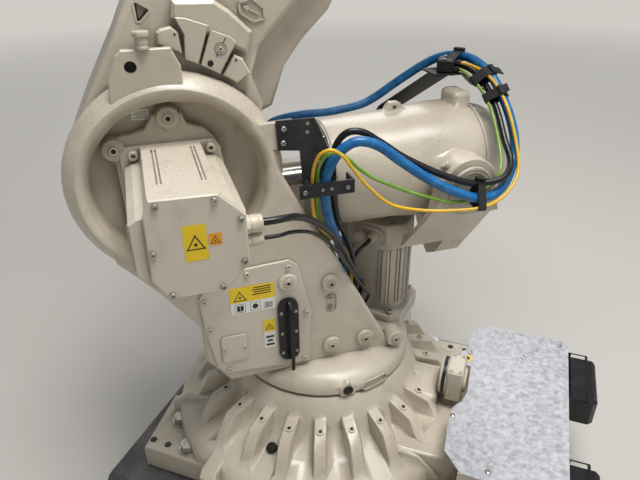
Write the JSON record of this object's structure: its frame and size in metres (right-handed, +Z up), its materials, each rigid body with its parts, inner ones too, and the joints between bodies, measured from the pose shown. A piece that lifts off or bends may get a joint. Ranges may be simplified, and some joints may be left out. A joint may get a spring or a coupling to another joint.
{
  "type": "industrial robot arm",
  "caption": "Six-axis industrial robot arm bolted to a steel plinth plate, with a spring balancer behind the shoulder and a connection box at the base.",
  "frame": {"origin": "on axis 1 at the underside of the plinth plate", "axes": "+Z up along axis 1; +X towards the front of the turned column, in the plane of the arm; +Y to the column's left, the side of the shoulder motor"},
  "size_m": [1.2571, 1.2329, 3.1712],
  "materials": {
    "cream_paint": "semi-gloss two-part paint over cast iron",
    "cream_plastic": "moulded",
    "galvanised_sheet": "galvanised, spangled",
    "machined_steel": "machined",
    "charcoal_paint": "powder coat",
    "black_plastic": "moulded",
    "blue_hose_plastic": "extruded hose",
    "black_hose_plastic": "extruded hose and cable sheath",
    "green_hose_plastic": "extruded hose",
    "yellow_hose_plastic": "extruded hose"
  },
  "bodies": {
    "base": {"plinth_plate": "charcoal_paint", "base_casting": "cream_paint", "cable_entry": "cream_paint", "connection_box": "cream_paint", "connection_cover": "galvanised_sheet", "power_connector": "black_plastic", "signal_connector": "black_plastic"},
    "column": {"column_frame": "cream_paint", "column_cover": "cream_paint", "access_plate": "cream_paint", "release_handle": "black_plastic", "lifting_bracket": "cream_paint", "shoulder_gear_flange": "cream_paint", "axis_2_motor": "cream_paint", "axis_2_motor_cover": "cream_paint", "power_gland": "cream_plastic", "sensor_gland": "cream_plastic", "axis_1_motor": "cream_paint", "axis_1_motor_lid": "cream_paint", "axis_1_terminal_box": "cream_paint", "hose_plate": "charcoal_paint", "hose_bracket": "charcoal_paint", "hose_strap": "charcoal_paint", "hose_clamp": "charcoal_paint", "hose_union": "charcoal_paint", "hose_entry": "charcoal_paint", "blue_hose": "blue_hose_plastic", "black_hose": "black_hose_plastic", "green_hose": "green_hose_plastic", "yellow_hose": "yellow_hose_plastic", "power_cable": "black_hose_plastic", "sensor_cable": "black_hose_plastic", "axis_1_cable": "black_hose_plastic", "balancer_axle_left": "cream_paint", "balancer_axle_right": "cream_paint"},
    "lower_arm": {"lower_arm": "cream_paint", "balancer_rod_pin": "machined_steel", "stop_block": "cream_paint", "stop_buffer_front": "cream_plastic", "stop_buffer_rear": "cream_plastic", "elbow_housing": "cream_paint", "elbow_bearing_cap": "cream_paint", "elbow_gear_flange": "cream_paint", "axis_3_motor": "cream_paint", "axis_4_motor": "cream_paint", "axis_5_motor": "cream_paint", "forearm": "cream_paint", "wrist": "cream_paint", "tool_flange": "machined_steel"},
    "balancer": {"balancer_shell": "cream_paint"},
    "balancer_rod": {"balancer_rod": "machined_steel"}
  },
  "joints": [
    {"name": "axis_1", "type": "hinge", "parent": "base", "child": "column", "pos_m": [0, 0, 0.291], "axis": [0, 0, 1], "range_deg": [-208, 132]},
    {"name": "axis_2", "type": "hinge", "parent": "column", "child": "lower_arm", "pos_m": [0.32, 0, 0.82], "axis": [0, 1, 0], "range_deg": [-33, 112]},
    {"name": "balancer_swing", "type": "hinge", "parent": "column", "child": "balancer", "pos_m": [-0.262, 0, 0.758], "axis": [0, -1, 0], "range_deg": [-6.5, 21]},
    {"name": "rod_swing", "type": "hinge", "parent": "lower_arm", "child": "balancer_rod", "pos_m": [0.21945, 0, 0.7545], "axis": [0, 1, 0], "range_deg": [-133, 40]}
  ],
  "couplings": [
    {"joint": "balancer_swing", "follows": "axis_2", "ratio": 0.185},
    {"joint": "rod_swing", "follows": "axis_2", "ratio": -1.185}
  ]
}
